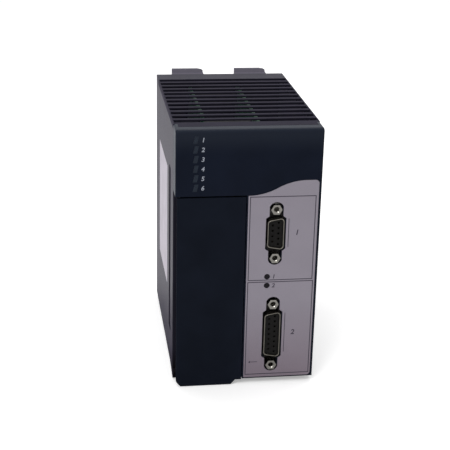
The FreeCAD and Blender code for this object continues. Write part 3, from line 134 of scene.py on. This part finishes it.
def worn_and_highlit_edges(add, rolled, wear_and_glint):
    """How far a spot lies on an edge, broken up by a noise: a pale edge that is partly worn by rubbing
    and partly a painted highlight.
    """
    flat = add("ShaderNodeNewGeometry").outputs["Normal"]
    facing = add("ShaderNodeVectorMath", {0: rolled, 1: flat}, operation="DOT_PRODUCT")
    patches = speckle(add, 7 * MILLIMETRE).outputs["Fac"]
    turned = add("ShaderNodeMapRange", {"Value": facing.outputs["Value"], "From Min": 0.995,
                                        "From Max": 0.90, "To Min": 0.0, "To Max": wear_and_glint})
    kept = add("ShaderNodeMapRange", {"Value": patches, "From Min": 0.42, "From Max": 0.62,
                                      "To Min": 0.15, "To Max": 1.0})
    return add("ShaderNodeMath", {0: turned.outputs["Result"], 1: kept.outputs["Result"]},
               operation="MULTIPLY").outputs["Value"]


def moulded_plastic(name, colour, rough, shine, grain=0.45 * MILLIMETRE, edge=0.2 * MILLIMETRE,
                    wear_and_glint=0.25, marks_and_painted_light=None):
    """Moulded plastic: cloudy colour, spark-eroded grain, pale edges that are partly worn by rubbing
    and partly painted highlight, and added tones, some of which are painted light and shade.
    """
    finish, tree, shader, add = node_tree(name)
    cloud = speckle(add, 18 * MILLIMETRE).outputs["Fac"]
    fine = speckle(add, grain, 2.0).outputs["Fac"]
    dark = [0.88 * part for part in colour]
    light = [1.14 * part for part in colour]
    body = blotched_colour(add, cloud, dark, light)
    sheen = spread(add, fine, rough - 0.05, rough + 0.05)
    rolled = softened_edges(tree, shader, add, fine, 0.04 * MILLIMETRE, edge)
    # Pale edges: partly worn by rubbing, partly a painted highlight.
    body = toned(add, worn_and_highlit_edges(add, rolled, wear_and_glint), body, [0.02 + 2.2 * part for part in colour])
    if marks_and_painted_light:
        body, sheen = marks_and_painted_light(add, body, sheen)
    tree.links.new(body, shader.inputs["Base Color"])
    tree.links.new(sheen, shader.inputs["Roughness"])
    shader.inputs["Specular IOR Level"].default_value = shine
    return finish


def bloomed(finish, tint):
    """A faint bloom on a moulding, which shows where it is seen at a low angle."""
    inputs = finish.node_tree.nodes["Principled BSDF"].inputs
    inputs["Sheen Weight"].default_value = 0.04
    inputs["Sheen Roughness"].default_value = 0.45
    inputs["Sheen Tint"].default_value = (*tint, 1)


def dusty_case_with_painted_light(add, body, sheen):
    """A roof and foot left duller by dust, painted shade darkening the lower front, and a painted
    highlight that pales the rack hooks.
    """
    spot = placed(add)
    back = worked(add, "MULTIPLY", worked(add, "SUBTRACT", spot["Y"], bezel_low.y), 0.35)
    reach = worked(add, "ADD", spot["Z"], back)
    corner = faded(add, reach, 8 * MILLIMETRE, 22 * MILLIMETRE, 0.45, 0.0)
    skirt = faded(add, reach, 12 * MILLIMETRE, 60 * MILLIMETRE, 0.30, 0.0)
    high = faded(add, spot["Z"], roof - 3.0 * MILLIMETRE, roof - 2.2 * MILLIMETRE, 0.0, 1.0)
    bars = faded(add, spot["Y"], LAST_LOUVRE, LAST_LOUVRE + MILLIMETRE, 0.36, 0.06)
    behind = faded(add, spot["Y"], BACK_FACE - 0.35 * MILLIMETRE, BACK_FACE + 0.25 * MILLIMETRE,
                   0.0, 1.0)
    hooks = worked(add, "MULTIPLY", high, behind)
    dull = worked(add, "ADD", worked(add, "ADD", corner, skirt),
                  worked(add, "MULTIPLY", high, bars))
    # Painted shade: the lower front of the case is darkened toward the foot.
    painted_foot_shade = toned(add, worked(add, "MULTIPLY", corner, 2.0), body, (0.0035, 0.0030, 0.0042))
    # Painted highlight: the tops of the rack hooks are paled.
    return toned(add, hooks, painted_foot_shade, (0.055, 0.050, 0.068)), worked(add, "ADD", sheen, dull)


def dress(finish, *nodes):
    """Give CAD nodes their finish."""
    for node in nodes:
        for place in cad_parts[node].material_slots:
            place.material = finish


case_plastic = moulded_plastic("case_plastic", (0.0105, 0.0097, 0.0172), 0.42, 0.09,
                               marks_and_painted_light=dusty_case_with_painted_light)
bloomed(case_plastic, (0.72, 0.60, 1.0))
dress(case_plastic, "housing_shell", "left_latch_lever", "right_latch_lever")

# ---- Side label
# A blank satin film label on the left wall, laid in a shallow recess. It is slightly
# mottled where the film has taken up the grain of the case.


def satin_film(name, colour, rough):
    finish, tree, shader, add = node_tree(name)
    cloud = speckle(add, 9 * MILLIMETRE).outputs["Fac"]
    fine = speckle(add, 0.6 * MILLIMETRE).outputs["Fac"]
    light = [min(1.0, 1.05 * part) for part in colour]
    dark = [0.93 * part for part in colour]
    tree.links.new(blotched_colour(add, cloud, dark, light), shader.inputs["Base Color"])
    tree.links.new(spread(add, fine, rough - 0.06, rough + 0.06), shader.inputs["Roughness"])
    bump = add("ShaderNodeBump", {"Height": fine, "Strength": 0.2, "Distance": 0.02 * MILLIMETRE})
    tree.links.new(bump.outputs["Normal"], shader.inputs["Normal"])
    return finish


dress(satin_film("side_label_film", (0.52, 0.48, 0.55), 0.55), "side_label")

# ---- Front bezel and door
# The front moulding and the hinged door are shot in a smoother, blue-black plastic. The
# door hangs on two steel pins pressed into the frame, and its lower lip is a finger pull.


def painted_brow_light(add, body, sheen):
    """A face painted a little paler toward its top edge, a painted highlight of the light from above.
    """
    rise = faded(add, placed(add)["Z"], roof - 12.8 * MILLIMETRE, roof - 1.8 * MILLIMETRE,
                 0.0, 1.0)
    # Painted highlight: the face's colour pales toward the top.
    return toned(add, rise, body, (0.0110, 0.0142, 0.0230)), sheen


def thumbed_door(add, body, sheen):
    """A door whose hinged edge has lost its sheen to handling."""
    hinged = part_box("front_door")[0].x
    edge = faded(add, placed(add)["X"], hinged + 0.1 * MILLIMETRE, hinged + 0.9 * MILLIMETRE,
                 0.5, 0.0)
    return body, worked(add, "ADD", sheen, edge)


face_plastic = moulded_plastic("face_plastic", (0.0044, 0.0066, 0.0140), 0.36, 0.045,
                               grain=0.3 * MILLIMETRE, wear_and_glint=0.10, marks_and_painted_light=painted_brow_light)
door_plastic = moulded_plastic("door_plastic", (0.0052, 0.0070, 0.0124), 0.40, 0.03,
                               grain=0.3 * MILLIMETRE, edge=0.05 * MILLIMETRE, wear_and_glint=0.05,
                               marks_and_painted_light=thumbed_door)
bloomed(face_plastic, (0.55, 0.66, 1.0))
dress(face_plastic, "front_bezel")
dress(door_plastic, "front_door")


def ground_metal(name, colour, rough, streak=(1, 1, 8), grain=0.25 * MILLIMETRE,
                 root=None):
    """Plated or turned metal: fine streaks, a patchy sheen, and behind a root a blotchy tarnish and
    painted shade that darkens it further in.
    """
    finish, tree, shader, add = node_tree(name)
    place = add("ShaderNodeTexCoord").outputs["Object"]
    stretched = add("ShaderNodeMapping", {"Vector": place, "Scale": streak}).outputs["Vector"]
    fine = add("ShaderNodeTexNoise", {"Vector": stretched, "Scale": 1 / grain, "Detail": 2.0})
    cloud = speckle(add, 4 * MILLIMETRE).outputs["Fac"]
    dark = [0.86 * part for part in colour]
    body = blotched_colour(add, cloud, dark, colour)
    if root is not None:
        # Painted shade: behind the root the colour runs to near black.
        painted_depth_shade = faded(add, placed(add)["Y"], root, root + 1.4 * MILLIMETRE, 0.0, 1.0)
        film = spread(add, speckle(add, 5 * MILLIMETRE).outputs["Fac"], 0.15, 0.75)
        body = toned(add, film, body, [0.35 * part for part in colour])
        body = toned(add, painted_depth_shade, body, (0.03, 0.028, 0.028))
    tree.links.new(body, shader.inputs["Base Color"])
    tree.links.new(spread(add, fine.outputs["Fac"], rough - 0.06, rough + 0.08),
                   shader.inputs["Roughness"])
    softened_edges(tree, shader, add, fine.outputs["Fac"], 0.01 * MILLIMETRE, 0.12 * MILLIMETRE)
    shader.inputs["Metallic"].default_value = 1.0
    return finish


steel = ground_metal("zinc_plated_steel", (0.55, 0.55, 0.57), 0.34)
dress(steel, "latch_pins", "board_screws", "display_board_screws", "port_spacers",
      "heat_sink_pins", "mode_switch_pin")
dress(ground_metal("blackened_steel", (0.07, 0.07, 0.08), 0.45), "door_hinge_pins")
dress(ground_metal("spring_steel", (0.48, 0.49, 0.52), 0.28), "left_latch_spring",
      "right_latch_spring")
for side in ("left", "right"):
    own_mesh(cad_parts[f"{side}_latch_spring"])

# ---- Silver front label
# A screen-printed metal overlay, bonded flush in the face on the right. Its satin coat is
# a warm grey with a fine sparkle.


def silver_coat(name, colour, shaded_foot_colour, rough):
    """Silver ink under a satin film, with painted shade that turns it warmer and darker toward the
    foot.
    """
    finish, tree, shader, add = node_tree(name)
    cloud = speckle(add, 14 * MILLIMETRE).outputs["Fac"]
    sparkle = speckle(add, 0.22 * MILLIMETRE, 4.0).outputs["Fac"]
    # Painted shade: the colour runs darker from 45 mm down to the foot.
    rise = add("ShaderNodeMapRange", {"Value": placed(add)["Z"], "From Min": 0.0,
                                      "From Max": 45 * MILLIMETRE}).outputs["Result"]
    upper = blotched_colour(add, cloud, [0.96 * part for part in colour], colour)
    lower = blotched_colour(add, cloud, [0.96 * part for part in shaded_foot_colour], shaded_foot_colour)
    graded = add("ShaderNodeMix", {"Factor": rise, "A": lower, "B": upper}, data_type="RGBA")
    tint = add("ShaderNodeMapRange", {"Value": sparkle, "From Min": 0.3, "From Max": 0.7,
                                      "To Min": 0.88, "To Max": 1.12}).outputs["Result"]
    mixed = add("ShaderNodeVectorMath", {0: graded.outputs["Result"], "Scale": tint}, operation="SCALE")
    tree.links.new(mixed.outputs["Vector"], shader.inputs["Base Color"])
    tree.links.new(spread(add, sparkle, rough - 0.08, rough + 0.08), shader.inputs["Roughness"])
    bump = add("ShaderNodeBump", {"Height": sparkle, "Strength": 0.25,
                                  "Distance": 0.015 * MILLIMETRE})
    tree.links.new(bump.outputs["Normal"], shader.inputs["Normal"])
    shader.inputs["Metallic"].default_value = 0.25
    return finish


dress(silver_coat("silver_overlay", (0.234, 0.213, 0.252), (0.186, 0.148, 0.182), 0.46),
      "front_label")

# ---- Printing on the label and beside the status windows
# Screen-printed lines frame the two ports, short bars run beside them, and plain numbers
# tell the ports and the status windows apart. An arrow points to the battery's side.

label_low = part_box("front_label")[0]
face = label_low.y
foot = bezel_low.z
INK_THICK = 0.03 * MILLIMETRE
INK_SINK = 0.02 * MILLIMETRE


def printing_ink(name, colour):
    finish, tree, shader, add = node_tree(name)
    fine = speckle(add, 0.3 * MILLIMETRE).outputs["Fac"]
    dark = [0.8 * part for part in colour]
    tree.links.new(blotched_colour(add, fine, dark, colour), shader.inputs["Base Color"])
    tree.links.new(spread(add, fine, 0.45, 0.65), shader.inputs["Roughness"])
    shader.inputs["Specular IOR Level"].default_value = 0.2
    return finish


def finished(name, shape, finish, body):
    """Make an object at the origin from a bmesh, on a body and with its finish."""
    bmesh.ops.remove_doubles(shape, verts=shape.verts, dist=1e-7)
    bmesh.ops.recalc_face_normals(shape, faces=shape.faces)
    mesh = bpy.data.meshes.new(name)
    shape.to_mesh(mesh)
    shape.free()
    mesh.materials.append(finish)
    piece = bpy.data.objects.new(name, mesh)
    scene.collection.objects.link(piece)
    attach(piece, body)
    return piece


def ink_bar(shape, left, right, low, high):
    """A thin printed bar on the face, from x to x and z to z in millimetres."""
    made = bmesh.ops.create_cube(shape, size=1)["verts"]
    size = Vector((right - left, 0, high - low)) * MILLIMETRE
    size.y = INK_THICK + INK_SINK
    bmesh.ops.scale(shape, verts=made, vec=size)
    middle = Vector(((left + right) / 2 * MILLIMETRE, face + (INK_SINK - INK_THICK) / 2,
                     foot + (low + high) / 2 * MILLIMETRE))
    bmesh.ops.translate(shape, verts=made, vec=middle)


def ink_frame(shape, left, right, low, high, line):
    """A printed rectangle made of four bars."""
    ink_bar(shape, left, right, high - line, high)
    ink_bar(shape, left, right, low, low + line)
    ink_bar(shape, left, left + line, low + line, high - line)
    ink_bar(shape, right - line, right, low + line, high - line)


def printed_number(shape, text, x, z, tall, lean=0.18):
    """A number on the face, its lower left corner at (x, z) in millimetres."""
    curve = bpy.data.curves.new("number_" + text, "FONT")
    curve.body = text
    curve.size = tall / 0.7 * MILLIMETRE
    curve.shear = lean
    curve.offset = 0.03 * tall * MILLIMETRE
    curve.extrude = (INK_THICK + INK_SINK) / 2
    curve.resolution_u = 3
    holder = bpy.data.objects.new("number_holder", curve)
    scene.collection.objects.link(holder)
    flat = bpy.data.meshes.new_from_object(holder)
    bpy.data.objects.remove(holder)
    upright = Matrix.Rotation(math.radians(90), 4, "X")
    place = Vector((x * MILLIMETRE, face + (INK_SINK - INK_THICK) / 2, foot + z * MILLIMETRE))
    flat.transform(Matrix.Translation(place) @ upright)
    shape.from_mesh(flat)
    bpy.data.meshes.remove(flat)


LINE = 0.40
SMALL_NUMBER = 2.1
PORT_NUMBER = 2.6
PORT_FRAMES = ((0.5, 32.5, 53.65, 97.0), (0.4, 32.9, 2.4, 53.0))
PORT_BARS = ((19.5, 19.8, 70.9, 85.5), (19.5, 19.8, 14.5, 36.0))
LABEL_NUMBERS = (("1", 22.8, 77.1, PORT_NUMBER), ("2", 22.8, 24.1, PORT_NUMBER),
                 ("1", 12.4, 54.6, SMALL_NUMBER), ("2", 12.4, 49.9, SMALL_NUMBER))
dark_print = bmesh.new()
for frame_edges in PORT_FRAMES:
    ink_frame(dark_print, *frame_edges, LINE)
for bar_edges in PORT_BARS:
    ink_bar(dark_print, *bar_edges)
for number in LABEL_NUMBERS:
    printed_number(dark_print, *number)
ink_bar(dark_print, 3.1, 6.5, 9.3, 9.6)
arrow = bmesh.ops.create_circle(dark_print, cap_ends=True, radius=0.75 * MILLIMETRE,
                                segments=3)["verts"]
bmesh.ops.rotate(dark_print, verts=arrow, matrix=Matrix.Rotation(math.radians(90), 3, "Z"))
bmesh.ops.rotate(dark_print, verts=arrow, matrix=Matrix.Rotation(math.radians(90), 3, "X"))
bmesh.ops.translate(dark_print, verts=arrow, vec=(2.6 * MILLIMETRE, face - INK_THICK,
                                                  foot + 9.45 * MILLIMETRE))
finished("label_printing", dark_print, printing_ink("dark_ink", (0.045, 0.038, 0.055)),
         "casing")

windows_low, windows_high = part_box("status_light_pipes")
status_lights = 6
WINDOW_TALL = 3.5
NUMBERS_LEFT = -23.0
rows_tall = (windows_high.z - windows_low.z) / MILLIMETRE - WINDOW_TALL
row = rows_tall / (status_lights - 1)
top_row = (windows_high.z - foot) / MILLIMETRE - WINDOW_TALL / 2
pale_print = bmesh.new()
for light in range(status_lights):
    printed_number(pale_print, str(light + 1), NUMBERS_LEFT,
                   top_row - row * light - SMALL_NUMBER / 2, SMALL_NUMBER)
finished("status_numbers", pale_print, printing_ink("pale_ink", (0.30, 0.32, 0.37)),
         "casing")

# ---- Status windows and port lights
# Smoked light pipes fill the slanted windows and the two round holes in the label. Behind
# them sit the lamps on the display board and on the port board.


def smoked_lens(name, colour, rough, shine):
    finish, tree, shader, add = node_tree(name)
    haze = speckle(add, 1.2 * MILLIMETRE).outputs["Fac"]
    dark = [0.75 * part for part in colour]
    tree.links.new(blotched_colour(add, haze, dark, colour), shader.inputs["Base Color"])
    tree.links.new(spread(add, haze, rough - 0.05, rough + 0.1), shader.inputs["Roughness"])
    shader.inputs["Specular IOR Level"].default_value = shine
    return finish


dress(smoked_lens("smoked_window", (0.014, 0.020, 0.032), 0.35, 0.12), "status_light_pipes")
dress(smoked_lens("dark_port_light", (0.006, 0.005, 0.008), 0.3, 0.12), "port_light_pipes")
dress(smoked_lens("lamp_case", (0.62, 0.60, 0.50), 0.35, 0.5), "status_lamps", "port_lamps")

# ---- Serial ports
# Each port is a pressed, nickel-plated shell round a black moulded insert with turned,
# gold-flashed sockets. Hexagonal jackscrews hold the shell to the port board.

nickel = ground_metal("nickel_plate", (0.44, 0.42, 0.36), 0.30)
dress(nickel, "clock_crystal", "mode_switch_nut", "battery_contacts")
dress(ground_metal("jackscrew_plate", (0.25, 0.24, 0.22), 0.22), "jackscrews")
# The port shells are darkened behind the face by painted shade.
shell_nickel = ground_metal("shell_nickel", (0.33, 0.31, 0.27), 0.34,
                            root=bezel_low.y + 2.65 * MILLIMETRE)
dress(shell_nickel, "port_1_shell", "port_2_shell")
connector_plastic = moulded_plastic("connector_plastic", (0.0075, 0.0070, 0.0070), 0.45, 0.25)
dress(connector_plastic, "backplane_plug", "board_link", "port_link", "display_link",
      "mode_switch_body", "battery_holder", "board_posts")
dress(moulded_plastic("insert_plastic", (0.0062, 0.0057, 0.0055), 0.55, 0.10),
      "port_1_insulator", "port_2_insulator")
dress(ground_metal("gold_flash", (0.52, 0.38, 0.16), 0.32), "backplane_pins")
# The sockets are coloured near black: painted shade inside their bores.
dress(ground_metal("shade_darkened_flash", (0.030, 0.025, 0.018), 0.55), "port_1_contacts",
      "port_2_contacts")

# ---- Compartment behind the door
# A separate moulded tray carries the toggle switch, clamped by its nut, and the holder of
# the battery, a metal can in a plain shrink film.

dress(moulded_plastic("tray_plastic", (0.018, 0.018, 0.020), 0.5, 0.3), "compartment_tray")
dress(moulded_plastic("lever_plastic", (0.60, 0.58, 0.53), 0.3, 0.5), "mode_switch_lever")
dress(satin_film("battery_film", (0.05, 0.19, 0.30), 0.3), "battery_cell")

# ---- Circuit boards and their parts
# Green glass-fibre boards under a solder mask, with black chip cases, sleeved capacitors
# and an anodised heat sink on a soft grey pad.


def solder_mask(name, colour, copper):
    """Green mask over tracks that show through as paler, raised lines."""
    finish, tree, shader, add = node_tree(name)
    place = add("ShaderNodeTexCoord").outputs["Object"]
    tracks = add("ShaderNodeTexBrick", {"Vector": place, "Color1": (0, 0, 0, 1),
                                        "Color2": (0, 0, 0, 1), "Mortar": (1, 1, 1, 1),
                                        "Scale": 1 / (4 * MILLIMETRE), "Mortar Size": 0.04})
    tone = toned(add, tracks.outputs["Color"], (*colour, 1), copper)
    tree.links.new(tone, shader.inputs["Base Color"])
    bump = add("ShaderNodeBump", {"Height": tracks.outputs["Color"], "Strength": 0.3,
                                  "Distance": 0.03 * MILLIMETRE})
    tree.links.new(bump.outputs["Normal"], shader.inputs["Normal"])
    fine = speckle(add, 1.5 * MILLIMETRE).outputs["Fac"]
    tree.links.new(spread(add, fine, 0.25, 0.4), shader.inputs["Roughness"])
    return finish


dress(solder_mask("solder_mask", (0.007, 0.050, 0.022), (0.020, 0.10, 0.042)), "main_board",
      "io_board", "port_board", "display_board")
dress(moulded_plastic("chip_case", (0.012, 0.012, 0.013), 0.55, 0.3), "processor",
      "memory_chips", "logic_chips")
dress(ground_metal("anodised_sink", (0.035, 0.035, 0.040), 0.5, streak=(1, 1, 20)), "heat_sink")
dress(satin_film("thermal_pad_film", (0.24, 0.26, 0.30), 0.7), "thermal_pad")
dress(ground_metal("capacitor_sleeve", (0.30, 0.31, 0.34), 0.35), "capacitors")

# ---- Floor, light and camera
# A white sheet under soft light from above and to the left, as for a catalogue picture.


def white_sheet(name):
    """Matt white that is lifted to full white where the camera sees it."""
    finish, tree, shader, add = node_tree(name)
    fine = speckle(add, 30 * MILLIMETRE).outputs["Fac"]
    white = blotched_colour(add, fine, (0.80, 0.80, 0.80), (0.82, 0.82, 0.82))
    tree.links.new(white, shader.inputs["Base Color"])
    shader.inputs["Roughness"].default_value = 0.9
    path = add("ShaderNodeLightPath")
    lift = add("ShaderNodeMath", {0: path.outputs["Is Camera Ray"], 1: 0.35},
               operation="MULTIPLY").outputs[0]
    tree.links.new(lift, shader.inputs["Emission Strength"])
    shader.inputs["Emission Color"].default_value = (1, 1, 1, 1)
    return finish


floor_shape = bmesh.new()
bmesh.ops.create_grid(floor_shape, x_segments=1, y_segments=1, size=3)
floor_mesh = bpy.data.meshes.new("floor")
floor_shape.to_mesh(floor_mesh)
floor_shape.free()
floor_mesh.materials.append(white_sheet("white_sheet"))
floor = bpy.data.objects.new("floor", floor_mesh)
scene.collection.objects.link(floor)


def soft_lamp(name, place, aim, size, watts):
    light = bpy.data.lights.new(name, "AREA")
    light.shape = "DISK"
    light.size = size
    light.energy = watts
    lamp = bpy.data.objects.new(name, light)
    lamp.location = place
    lamp.rotation_euler = (Vector(aim) - Vector(place)).to_track_quat("-Z", "Y").to_euler()
    scene.collection.objects.link(lamp)


middle = Vector((0, 0, 0.07))
soft_lamp("key_lamp", (-0.55, -0.75, 1.05), middle, 0.7, 9.0)
soft_lamp("top_lamp", (0.1, 0.35, 1.2), middle, 0.9, 7.0)

sky = bpy.data.worlds.new("studio")
scene.world = sky
sky.use_nodes = True
sky_tree = sky.node_tree
background = sky_tree.nodes["Background"]
background.inputs["Color"].default_value = (1, 1, 1, 1)
seen = sky_tree.nodes.new("ShaderNodeLightPath")
seen_white = seen.outputs["Is Camera Ray"]
for ray in ("Is Glossy Ray", "Is Transmission Ray"):
    either = sky_tree.nodes.new("ShaderNodeMath")
    either.operation = "MAXIMUM"
    sky_tree.links.new(seen_white, either.inputs[0])
    sky_tree.links.new(seen.outputs[ray], either.inputs[1])
    seen_white = either.outputs["Value"]
level = sky_tree.nodes.new("ShaderNodeMapRange")
level.inputs["To Min"].default_value = 0.55
level.inputs["To Max"].default_value = 1.0
sky_tree.links.new(seen_white, level.inputs["Value"])
sky_tree.links.new(level.outputs["Result"], background.inputs["Strength"])

CAMERA_PLACE = Vector((-0.081684, -0.552652, 0.274270))
TURN = math.radians(-8.144)
TILT = math.radians(20.738)
ROLL = math.radians(1.292)
ahead = Vector((-math.sin(TURN) * math.cos(TILT), math.cos(TURN) * math.cos(TILT),
                -math.sin(TILT)))
right = ahead.cross(Vector((0, 0, 1))).normalized()
up = right.cross(ahead)
camera_right = math.cos(ROLL) * right + math.sin(ROLL) * up
camera_up = -math.sin(ROLL) * right + math.cos(ROLL) * up
lens = bpy.data.cameras.new("camera")
lens.lens = 89.58
lens.sensor_width = 36
camera = bpy.data.objects.new("camera", lens)
camera.matrix_world = Matrix.Translation(CAMERA_PLACE) @ Matrix(
    (camera_right, camera_up, -ahead)).transposed().to_4x4()
scene.collection.objects.link(camera)
scene.camera = camera
scene.view_settings.view_transform = "Standard"
